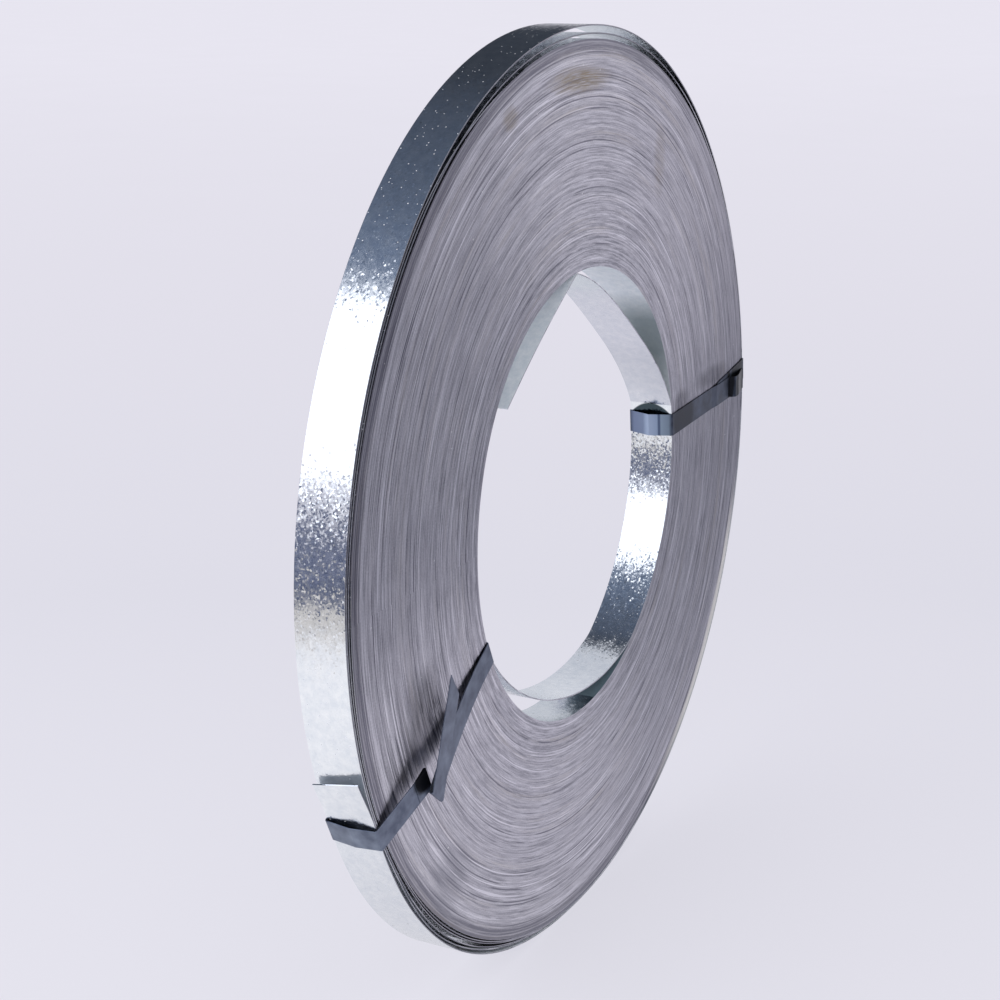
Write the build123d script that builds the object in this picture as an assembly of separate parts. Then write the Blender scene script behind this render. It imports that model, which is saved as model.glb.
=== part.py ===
from build123d import *
import math
import os

# A coil of galvanised steel strip standing on its rim, held by two folded steel binding straps.
# It is drawn lying down, axis along Z and front end up, about the middle of the tightly wound
# turns, and then stood up on its rim. Angles run anticlockwise as the front end is seen.

# Strip and tightly wound turns
strip_width = 32
strip_thickness = 0.9
bore_diameter = 300
pack_diameter = 585
turn_bands = 8
band_relief = 0.35
band_drift_angle = 137.5

# Outermost turn, from its free end, cut at a slant, round to where it passes under itself and closes.
# Each spring's angles are where it starts, where it stands off furthest and where it ends
outer_end_angle = 197.6
outer_end_slant = 8.4
outer_tail_angle = 204.3
outer_tail_lift = 6.9
outer_tail_curl = 1.3
outer_turn_join_angle = 371
outer_turn_end_angle = 634
outer_turn_seat = 0.2
floor_spring_angles = (176, 230, 274)
floor_spring_rise = 10.3
roof_spring_angles = (381, 441)
roof_spring_rise = 7.8
roof_relief_angles = (456, 558)
roof_relief_drop = 3
under_spring_angles = (569, 590, 631)
under_spring_rise = 4.5
under_close_angles = (576, 631)
under_close_drop = 4.8

# Turns under it that have opened up: where each starts and ends, and how far it stands off
slack_turn_angles = ((201, 258), (198, 262), (194, 266), (31, 171))
slack_turn_rises = (2.3, 4.3, 6.7, 2.8)

# Innermost turn, sprung into the bore on both sides of the strap that holds it
floor_sag_angles = (209.5, 302)
floor_sag = 14
roof_sag_angles = (12, 96)
roof_sag = 25
sag_overlap_angle = 1
inner_turn_seat = 0.15
inner_end_angle = 144
inner_end_gap = 12
inner_end_bulge = 2

# How much of the way round each short arc of a sprung turn spans
loose_arc_angle = 12
sag_arc_angle = 24

# Binding straps: each runs once round the ring's section and its two ends meet on the front end
strap_width = 16
strap_thickness = 0.5
strap_bend = 1
seat = 0.3

# Lower joint: the bore leg lifts away to a skew fold over the rim leg's hook, its free end turned up
lower_strap_angle = 206
lower_rim_shift = 2
lower_bow = 1
hook_setback = 40.5
hook_rise = 8
hook_lip = 12
hook_opening = 0.8
fold_setback = 37
fold_shift = 9.5
fold_rise = 11
fold_skew_angle = 72
fold_opening = 1.2
bore_leg_curl = 1.5
free_end_length = 64
free_end_slant_angle = 56
free_end_tilt_angle = 6

# Upper joint: the bore leg rises over the rim leg's tongue in one crimp and ends near the rim
upper_strap_angle = 6.1
upper_rim_shift = 0
upper_bow = 4.5
tongue_setback = 54.5
tongue_shift = -3.5
tongue_clearance = 4
tongue_ramp = 8
crimp_setback = 31.5
crimp_rise = 4
crimp_ramp = 3
crimp_flat = 6
upper_leg_setback = 2.5
upper_leg_shift = -7

# How far both straps stand off the rim in the middle of their run over it
rim_bow = 1.5

bore_radius = bore_diameter / 2
pack_radius = pack_diameter / 2
half_width = strip_width / 2
strap_lift = seat + strap_thickness / 2
strap_sag = strap_width ** 2 / 8 / bore_radius


def spot(radius, angle):
    """A point given by its distance from the axis and its angle."""
    return (radius * math.cos(math.radians(angle)), radius * math.sin(math.radians(angle)))


def strip_deep(face):
    """A shape drawn across the axis, given the depth of the strip."""
    return Pos(0, 0, -half_width) * extrude(face, strip_width)


def ease(angle, start, end):
    """Nought before one angle and one after another, with a smooth rise between them."""
    part = min(1, max(0, (angle - start) / (end - start)))
    return (1 - math.cos(math.pi * part)) / 2


def swell(angle, start, peak, end, height):
    """A smooth rise to a height and back to nothing."""
    return height * (ease(angle, start, peak) - ease(angle, peak, end))


def outer_turn_radius(angle):
    """Middle of the outermost turn, followed from its free end until it closes on the pack."""
    radius = pack_radius + strip_thickness / 2 - outer_turn_seat
    radius += swell(angle, *floor_spring_angles, floor_spring_rise)
    radius += roof_spring_rise * ease(angle, *roof_spring_angles)
    radius -= roof_relief_drop * ease(angle, *roof_relief_angles)
    radius += swell(angle, *under_spring_angles, under_spring_rise)
    radius -= (under_close_drop + strip_thickness) * ease(angle, *under_close_angles)
    tail = max(0, (outer_tail_angle - angle) / (outer_tail_angle - outer_end_angle))
    return radius + outer_tail_lift * tail ** outer_tail_curl


def ribbon(radius_at, start, end, arc_angle):
    """A run of strip in short arcs, whose middle keeps to a radius worked out for each angle."""
    count = max(2, round((end - start) / arc_angle))

    def side(offset, step):
        angle = start + (end - start) * step / count
        return spot(radius_at(angle) + offset, angle)

    edges = []
    for offset in (strip_thickness / 2, -strip_thickness / 2):
        for step in range(count):
            edges.append(ThreePointArc(side(offset, step), side(offset, step + 0.5), side(offset, step + 1)))
    for step in (0, count):
        edges.append(Line(side(strip_thickness / 2, step), side(-strip_thickness / 2, step)))
    return strip_deep(make_face(edges))


def wound_pack():
    """The tightly wound turns as one turned ring, some bands of turns standing a little proud."""
    band = (pack_radius - bore_radius) / turn_bands
    front = [(bore_radius, 0)]
    for place in range(turn_bands):
        height = half_width - band_relief * (1 + math.sin(math.radians(place * band_drift_angle))) / 2
        front += [(bore_radius + band * place, height), (bore_radius + band * (place + 1), height)]
    front.append((pack_radius, 0))
    half = revolve(Plane.XZ * make_face(Polyline(*front, close=True)), Axis.Z)
    return half + mirror(half, Plane.XY)


def slack_turn(start, end, stand_off):
    """A turn of the pack that has opened away from the turns beneath and closes on them again."""
    sunk = pack_radius - strip_thickness / 2 - outer_turn_seat
    rise = stand_off + outer_turn_seat
    peak = (start + end) / 2
    return ribbon(lambda angle: sunk + swell(angle, start, peak, end, rise), start, end, loose_arc_angle)


def innermost_turn():
    """The last turn in the bore: sagging at the floor, held at the strap, sprung down from the roof."""
    held = bore_radius - strip_thickness / 2 + inner_turn_seat

    def sagging(start, end, depth):
        def radius_at(angle):
            return held - depth * math.sin(math.pi * (angle - start) / (end - start))

        return ribbon(radius_at, start, end, sag_arc_angle)

    held_start = floor_sag_angles[1] - sag_overlap_angle
    held_end = roof_sag_angles[0] + 360 + sag_overlap_angle
    held_run = ribbon(lambda angle: held, held_start, held_end, sag_arc_angle)
    crease = Vector(*spot(held, roof_sag_angles[1]))
    tip = Vector(*spot(bore_radius - inner_end_gap, inner_end_angle))
    tail = strip_deep(trace(SagittaArc(tip, crease, inner_end_bulge), strip_thickness))
    return sagging(*floor_sag_angles, floor_sag) + held_run + sagging(*roof_sag_angles, roof_sag) + tail


def outer_end_offcut():
    """What a slanting cut takes off the outermost turn, whose front corner is left longest."""
    radial = Vector(*spot(1, outer_end_angle))
    around = Vector(0, 0, 1).cross(radial)
    front_corner = radial * outer_turn_radius(outer_end_angle) + Vector(0, 0, half_width)
    corners = [(0, 0), (outer_end_slant, strip_width), (-outer_end_slant, strip_width), (-outer_end_slant, 0)]
    cut = Plane(front_corner, x_dir=around, z_dir=-radial) * make_face(Polyline(*corners, close=True))
    return extrude(cut, outer_tail_lift, both=True)


def strip_coil():
    """The whole strip: the pack with its sprung outer and inner turns."""
    coil = wound_pack()
    join = outer_turn_join_angle
    coil += ribbon(outer_turn_radius, outer_end_angle, join, loose_arc_angle) - outer_end_offcut()
    coil += ribbon(outer_turn_radius, join, outer_turn_end_angle, loose_arc_angle)
    for angles, stand_off in zip(slack_turn_angles, slack_turn_rises):
        coil += slack_turn(*angles, stand_off)
    return coil + innermost_turn()


def across_station(at, run, out, skew=90):
    """The corners of a strap's cross-section, square to its run or at a skew to it, one side facing out."""
    run = run.normalized()
    out = (out - run * out.dot(run)).normalized()
    side = run.cross(out)
    span = (side + run / math.tan(math.radians(skew))) * strap_width / 2
    thick = out * strap_thickness / 2
    return [at + span + thick, at - span + thick, at - span - thick, at + span - thick]


class Section:
    """The plane of the ring's section at one angle, where a strap goes round it."""

    def __init__(self, angle):
        self.radial = Vector(*spot(1, angle))
        self.axial = Vector(0, 0, 1)
        self.around = self.axial.cross(self.radial)

    def point(self, radius, shift, height):
        """A point from its distance out, its shift to one side and its height over the front end."""
        return self.radial * radius + self.around * shift + self.axial * (half_width + height)

    def facing(self, turn):
        """The direction at a given turn from the radius toward the front end."""
        return self.radial * math.cos(math.radians(turn)) + self.axial * math.sin(math.radians(turn))

    def corner(self, hub, start):
        """A strap bent a quarter turn round an edge of the ring."""
        turns = [start - 30 * step for step in range(4)]
        return [
            across_station(hub + self.facing(turn) * strap_bend, self.facing(turn - 90), self.facing(turn))
            for turn in turns
        ]

    def wrap(self, outer, rim_shift, inner, bow):
        """A strap from the front of the rim over the rim, down the back and out through the bore."""
        flat = self.axial * (half_width + strap_lift - strap_bend)
        rim = self.radial * (outer + strap_lift - strap_bend) + self.around * rim_shift
        bore = self.radial * (inner - strap_lift + strap_bend)
        over_rim = rim + self.radial * (strap_bend + rim_bow)
        in_bore = bore - self.radial * (strap_bend + bow)
        stations = self.corner(rim + flat, 90)
        stations.append(across_station(over_rim, -self.axial, self.radial))
        stations += self.corner(rim - flat, 0) + self.corner(bore - flat, -90)
        stations.append(across_station(in_bore, self.axial, -self.radial))
        return stations + self.corner(bore + flat, -180)

    def leg(self, places, skew=90):
        """A strap lying over the front end through the given points, the last one cut at a skew."""
        points = [self.point(*place) for place in places]
        stations = []
        for number, at in enumerate(points):
            before = points[max(number - 1, 0)]
            after = points[min(number + 1, len(points) - 1)]
            last = number == len(points) - 1
            stations.append(across_station(at, after - before, self.axial, skew if last else 90))
        return stations


def half_fold(at, run, out, opening, over=1, skew=90):
    """A strap folded back over its outer side (or under, for -1): its stations, end point and new run."""
    crease = (run.cross(out) + run / math.tan(math.radians(skew))).normalized()
    ahead = (run - crease * run.dot(crease)).normalized()
    hub = at + out * opening * over
    span = crease * (strap_width / 2 / math.sin(math.radians(skew)))
    stations = []
    for step in range(1, 7):
        turn = math.radians(30 * step)
        spoke = ahead * math.sin(turn) - out * over * math.cos(turn)
        thick = spoke * (-over * strap_thickness / 2)
        at = hub + spoke * opening
        stations.append([at + span + thick, at - span + thick, at - span - thick, at + span - thick])
    return stations, hub + out * opening * over, run - ahead * (2 * run.dot(ahead))


def strap_through(stations):
    """One strap through all its stations, skinned with a straight patch along each of its four sides."""
    skin = [Face(Polyline(*corners, close=True).wire()) for corners in (stations[0], stations[-1])]
    for near, far in zip(stations, stations[1:]):
        for corner in range(4):
            following = (corner + 1) % 4
            patch = [[near[corner], near[following]], [far[corner], far[following]]]
            skin.append(Face.make_bezier_surface(patch))
    return Solid(Shell(skin))


def rim_reach(angle):
    """How far out the rim comes under the width of a strap."""
    half = math.degrees(strap_width / 2 / pack_radius)
    return max(outer_turn_radius(angle + side * half) for side in (-1, 0, 1)) + strip_thickness / 2


def lower_binding_strap():
    """The slack strap: hooked rim leg, and a bore leg that lifts to a skew fold and a free end."""
    section = Section(lower_strap_angle)
    wrap = section.wrap(rim_reach(lower_strap_angle), lower_rim_shift, bore_radius - strap_sag, lower_bow)

    # Hook: a short lip under the end of the rim leg
    hook = pack_radius - hook_setback
    rise = hook_rise + strap_lift - 2 * hook_opening
    lip = section.point(hook + hook_lip, 0, rise)
    turn_in = section.point(hook, 0, rise)
    rim_leg = [across_station(place, -section.radial, -section.axial) for place in (lip, turn_in)]
    rim_leg += half_fold(turn_in, -section.radial, -section.axial, hook_opening, -1)[0]

    # Bore leg: leaves the front end along a curve up to the fold
    first = bore_radius + strap_bend
    reach = pack_radius - fold_setback - first
    places = []
    for step in range(1, 7):
        part = step / 6
        curve = part ** bore_leg_curl
        places.append((first + reach * part, fold_shift * curve, strap_lift + fold_rise * curve))
    bore_leg = section.leg(places, fold_skew_angle)
    end = section.point(*places[-1])
    run = (end - section.point(*places[-2])).normalized()
    out = (section.axial - run * section.axial.dot(run)).normalized()
    fold, fold_end, back = half_fold(end, run, out, fold_opening, 1, fold_skew_angle)

    # Free end: straight on from the fold, cut at a slant
    tip_run = (back + out * math.tan(math.radians(free_end_tilt_angle))).normalized()
    tip = across_station(fold_end + tip_run * free_end_length, tip_run, -out, free_end_slant_angle)
    return strap_through(rim_leg + wrap + bore_leg + fold + [tip])


def upper_binding_strap():
    """The tight strap: a tongue from the rim, and a bore leg crimped over it."""
    section = Section(upper_strap_angle)
    outer = rim_reach(upper_strap_angle + 360)
    inner = bore_radius - strip_thickness + inner_turn_seat - strap_sag
    wrap = section.wrap(outer, upper_rim_shift, inner, upper_bow)
    tongue_end = pack_radius - tongue_setback
    halfway = ((tongue_end + outer) / 2, (tongue_shift + upper_rim_shift) / 2, strap_lift)
    tongue = section.leg([(tongue_end, tongue_shift, strap_lift), halfway])

    over = strap_lift + strap_thickness + seat
    ramp_top = tongue_end - tongue_clearance
    crimp_foot = pack_radius - crimp_setback
    crimp_top = crimp_foot + crimp_ramp
    leg_end = pack_radius - upper_leg_setback
    profile = [
        (ramp_top - tongue_ramp, strap_lift),
        (ramp_top, over),
        (crimp_foot, over),
        (crimp_top, over + crimp_rise),
        (crimp_top + crimp_flat, over + crimp_rise),
        (leg_end - crimp_ramp, over),
        (leg_end, over),
    ]
    places = []
    for radius, height in profile:
        places.append((radius, upper_leg_shift * (radius - inner) / (leg_end - inner), height))
    return strap_through(tongue + wrap + section.leg(places))


pieces = {
    "strip_coil": strip_coil(),
    "binding_strap_lower": lower_binding_strap(),
    "binding_strap_upper": upper_binding_strap(),
}

# Stood up on its rim, front end toward -Y, with the middle of its footprint at the origin
whole = Compound(children=[Rot(90, 0, 0) * piece for piece in pieces.values()]).bounding_box()
middle = whole.center()
os.makedirs("parts", exist_ok=True)
for node, piece in pieces.items():
    placed = Pos(-middle.X, -middle.Y, -whole.min.Z) * Rot(90, 0, 0) * piece
    export_step(placed, f"parts/{node}.step")
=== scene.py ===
"""The steel coil's looks: every turn of its strip, the sprung outer and inner turns, and its bindings.

The coil stands on its rim on pale studio paper. Lengths named with _mm are millimetres, and every
object is placed in metres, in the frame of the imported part.
"""

import logging
import math
from dataclasses import dataclass, field
from enum import Enum
from typing import Any, Callable, ClassVar

import bpy
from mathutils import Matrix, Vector


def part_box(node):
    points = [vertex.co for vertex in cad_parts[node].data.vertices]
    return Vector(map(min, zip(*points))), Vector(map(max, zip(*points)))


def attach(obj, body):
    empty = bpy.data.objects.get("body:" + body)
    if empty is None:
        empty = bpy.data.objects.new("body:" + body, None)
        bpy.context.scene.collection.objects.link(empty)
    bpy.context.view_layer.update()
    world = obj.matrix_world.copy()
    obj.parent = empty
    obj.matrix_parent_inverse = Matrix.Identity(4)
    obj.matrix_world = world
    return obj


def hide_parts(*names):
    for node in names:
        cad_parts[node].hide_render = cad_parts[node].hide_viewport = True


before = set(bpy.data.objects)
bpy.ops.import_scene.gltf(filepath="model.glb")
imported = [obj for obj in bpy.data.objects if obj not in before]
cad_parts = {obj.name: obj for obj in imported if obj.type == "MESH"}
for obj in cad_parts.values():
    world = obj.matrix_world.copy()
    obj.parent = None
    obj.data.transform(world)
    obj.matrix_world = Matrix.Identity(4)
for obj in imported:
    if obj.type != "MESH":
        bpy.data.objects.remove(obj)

MM = 0.001
HALF_WIDTH_MM = 16.0
MID_GREY = (0.5, 0.5, 0.5)
ACROSS_AXIS = (1.0, 0.0, 1.0)
LOG = logging.getLogger("steel_coil")
Node = bpy.types.Node
NodeTree = bpy.types.NodeTree
Socket = bpy.types.NodeSocket
Material = bpy.types.Material
Object = bpy.types.Object
Span = tuple[float, float]
Rows = tuple[tuple[float, ...], ...]
Tints = tuple[tuple[float, str], ...]


class Side(Enum):
    """The strip's sides, each by the name of the input that takes its finish."""

    EDGE = "Edge finish"
    FACE = "Face finish"
    BACK = "Back finish"


def linear(colour: str) -> tuple[float, ...]:
    """Turns an sRGB hex colour into the linear one that a shader takes.

    Args:
        colour: six hex digits, red first.

    Returns:
        Red, green, blue and an alpha of one.
    """
    shares = [int(colour[place:place + 2], 16) / 255 for place in (0, 2, 4)]
    light = [share / 12.92 if share <= 0.04045 else ((share + 0.055) / 1.055) ** 2.4 for share in shares]
    return (*light, 1.0)


def add(tree: NodeTree, kind: str, inputs: dict[Any, Any] | None = None, **settings: Any) -> Node:
    """Adds one node with its settings, its values and its links.

    Args:
        tree: the node tree it goes into.
        kind: the node's type name.
        inputs: a value or another node's output for each input, by its name or place. A node that is given
            in an output's stead stands for its first output.
        **settings: properties of the node itself.

    Returns:
        The new node.
    """
    node = tree.nodes.new(kind)
    for name, value in settings.items():
        setattr(node, name, value)
    for name, value in (inputs or {}).items():
        value = value.socket if isinstance(value, (Number, Colour)) else value
        value = value.outputs[0] if isinstance(value, Node) else value
        if isinstance(value, Socket):
            tree.links.new(value, node.inputs[name])
        else:
            node.inputs[name].default_value = value
    return node


@dataclass(frozen=True)
class Number:
    """A number inside a node tree: each sum done with it adds the node that works the sum out."""

    kind: ClassVar[str] = "ShaderNodeMath"
    tree: NodeTree
    socket: Node | Socket

    def do(self, operation: str, *others: Any) -> "Number":
        """Adds the node for one sum with what else goes into it, and gives the outcome as the same kind."""
        return type(self)(self.tree, add(self.tree, self.kind, dict(enumerate((self, *others))), operation=operation))

    def part(self, start: float, end: float, low: float = 0.0, high: float = 1.0) -> "Number":
        """How far the number has come from a start to an end, told as a number held between low and high."""
        return Number(self.tree, add(self.tree, "ShaderNodeMapRange", {
            "Value": self, "From Min": start, "From Max": end, "To Min": low, "To Max": high}))

    def part_mm(self, start: float, end: float, low: float = 0.0, high: float = 1.0) -> "Number":
        """As part does, with the start and the end in millimetres."""
        return self.part(start * MM, end * MM, low, high)

    def above(self, limit: Any) -> "Number":
        """One where the number lies above a limit, and nought elsewhere."""
        return self.do("GREATER_THAN", limit)

    def below(self, limit: Any) -> "Number":
        """One where the number lies below a limit, and nought elsewhere."""
        return self.do("LESS_THAN", limit)

    def __add__(self, other: Any) -> "Number":
        """The number with another added."""
        return self.do("ADD", other)

    def __sub__(self, other: Any) -> "Number":
        """The number less another."""
        return self.do("SUBTRACT", other)

    def __rsub__(self, other: Any) -> "Number":
        """Another less the number."""
        return self.do("MULTIPLY_ADD", -1.0, other)

    def __mul__(self, other: Any) -> "Number":
        """The number times another."""
        return self.do("MULTIPLY", other)

    def __truediv__(self, other: Any) -> "Number":
        """The number divided by another."""
        return self.do("DIVIDE", other)


class Place(Number):
    """A place or a direction inside a node tree, with a number's sums done on all three of its parts."""

    kind = "ShaderNodeVectorMath"

    def scaled(self, by: Any) -> "Place":
        """The place drawn out by a number."""
        return Place(self.tree, add(self.tree, self.kind, {0: self, "Scale": by}, operation="SCALE"))

    def measured(self, operation: str, *others: Any) -> Number:
        """Adds the node for a sum whose outcome is a plain number, such as its length."""
        node = add(self.tree, self.kind, dict(enumerate((self, *others))), operation=operation)
        return Number(self.tree, node.outputs["Value"])

    def parts(self) -> list[Number]:
        """Its parts along X, Y and Z."""
        return [Number(self.tree, part) for part in add(self.tree, "ShaderNodeSeparateXYZ", {0: self}).outputs]


@dataclass(frozen=True)
class Colour:
    """A colour inside a node tree, given as sRGB hex, as a linear colour, or as a node or its output."""

    tree: NodeTree
    given: Any

    @property
    def socket(self) -> Any:
        """What a node's input takes for it."""
        return linear(self.given) if isinstance(self.given, str) else self.given

    def under(self, *coats: tuple[Any, Any]) -> "Colour":
        """Lays coats of colour over it, one after another.

        Args:
            *coats: how much of what lies under it each coat hides, and its colour.

        Returns:
            The colour that shows.
        """
        shown = self
        for share, coat in coats:
            layers = {"Factor": share, 6: shown, 7: Colour(self.tree, coat)}
            shown = Colour(self.tree, add(self.tree, "ShaderNodeMix", layers, data_type="RGBA").outputs[2])
        return shown


def ramp_between(node: Node, stops: Tints) -> None:
    """Gives a colour ramp its stops.

    Args:
        node: the ramp.
        stops: where each stop lies, and its sRGB hex colour.
    """
    elements = node.color_ramp.elements
    while len(elements) < len(stops):
        elements.new(0.5)
    for element, (place, colour) in zip(elements, stops):
        element.position = place
        element.color = linear(colour)


def ease(angle: float, start: float, end: float) -> float:
    """A share that rises smoothly from nought at one angle to one at another, all in degrees."""
    part = min(1.0, max(0.0, (angle - start) / (end - start)))
    return (1 - math.cos(math.pi * part)) / 2


@dataclass(frozen=True)
class Spring:
    """A stretch of strip that stands off: it rises from one angle to another and falls back to a third."""

    start: float
    peak: float
    end: float
    height_mm: float

    def at(self, angle: float) -> float:
        """How far the strip stands off at an angle, in millimetres."""
        return self.height_mm * (ease(angle, self.start, self.peak) - ease(angle, self.peak, self.end))


@dataclass(frozen=True)
class CoilSizes:
    """The strip and the coil that it is wound into, and where the coil's axis lies in the frame."""

    strip_width_mm: float = 2 * HALF_WIDTH_MM
    strip_thickness_mm: float = 0.9
    bore_radius_mm: float = 150.0
    pack_radius_mm: float = 292.5
    outer_end_angle: float = 197.6
    outer_tail_angle: float = 204.3
    outer_tail_lift_mm: float = 6.9
    outer_tail_curl: float = 1.3
    outer_turn_end: float = 634.0
    outer_turn_seat_mm: float = 0.2
    floor_spring: Spring = Spring(176, 230, 274, 10.3)
    roof_rise: tuple[float, ...] = (381, 441, 7.8)
    roof_drop: tuple[float, ...] = (456, 558, 3.0)
    under_spring: Spring = Spring(569, 590, 631, 4.5)
    under_close: tuple[float, ...] = (576, 631, 4.8)
    degrees_followed: int = 420
    steps_to_degree: int = 4

    def outer_turn_radius(self, angle: float) -> float:
        """Middle of the outermost turn, followed from its free end until it closes on the turns beneath.

        Args:
            angle: degrees round from the free end's own turn, so it runs past a full turn.

        Returns:
            Its distance from the coil's axis, in millimetres.
        """
        *rise, up = self.roof_rise
        *drop, down = self.roof_drop
        *close, inward = self.under_close
        radius = self.pack_radius_mm + self.strip_thickness_mm / 2 - self.outer_turn_seat_mm
        radius += self.floor_spring.at(angle)
        radius += up * ease(angle, *rise) - down * ease(angle, *drop)
        radius += self.under_spring.at(angle)
        radius -= (inward + self.strip_thickness_mm) * ease(angle, *close)
        tail = max(0.0, (self.outer_tail_angle - angle) / (self.outer_tail_angle - self.outer_end_angle))
        return radius + self.outer_tail_lift_mm * tail ** self.outer_tail_curl

    def axis(self) -> Vector:
        """Finds the coil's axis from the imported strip's box and the outermost turn's path.

        Returns:
            Where the axis crosses the middle of the strip's width, in metres.
        """
        low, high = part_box("strip_coil")
        half = self.strip_thickness_mm / 2
        steps = range(self.degrees_followed * self.steps_to_degree)
        angles = [self.outer_end_angle + step / self.steps_to_degree for step in steps]
        reach = [(self.outer_turn_radius(angle) + half, math.radians(angle)) for angle in angles]
        lowest = min(radius * math.sin(turn) for radius, turn in reach)
        furthest = max(radius * math.cos(turn) for radius, turn in reach)
        return Vector((high.x - furthest * MM, (low.y + high.y) / 2, low.z - lowest * MM))


def new_finish(name: str) -> tuple[Material, NodeTree]:
    """Starts a finish.

    Args:
        name: its name.

    Returns:
        The material, and its empty node tree.
    """
    made = bpy.data.materials.new(name)
    made.use_nodes = True
    made.node_tree.nodes.clear()
    return made, made.node_tree


class AboutAxis:
    """Where a point of a finish or of a mesh lies about the coil's axis."""

    def __init__(self, tree: NodeTree, axis: Any, source: str = "ShaderNodeTexCoord", output: str = "Object") -> None:
        """Adds the nodes that work the place out.

        Args:
            tree: the node tree.
            axis: a point on the coil's axis.
            source: the type name of the node that tells the place.
            output: which of its outputs does.
        """
        self.place = Place(tree, add(tree, source).outputs[output])
        self.local = self.place - axis
        self.flat = self.local * ACROSS_AXIS
        self.across, self.width, self.up = self.local.parts()
        self.radius = self.flat.measured("LENGTH")

    def off_spot(self, middle_mm: Span, reach_mm: Span) -> Number:
        """How far out of an oval spot on the coil's end the point lies: nought in its middle, one on its edge."""
        gap = self.flat - Vector((middle_mm[0], 0.0, middle_mm[1])) * MM
        return (gap * (1 / (reach_mm[0] * MM), 0.0, 1 / (reach_mm[1] * MM))).measured("LENGTH")


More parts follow.
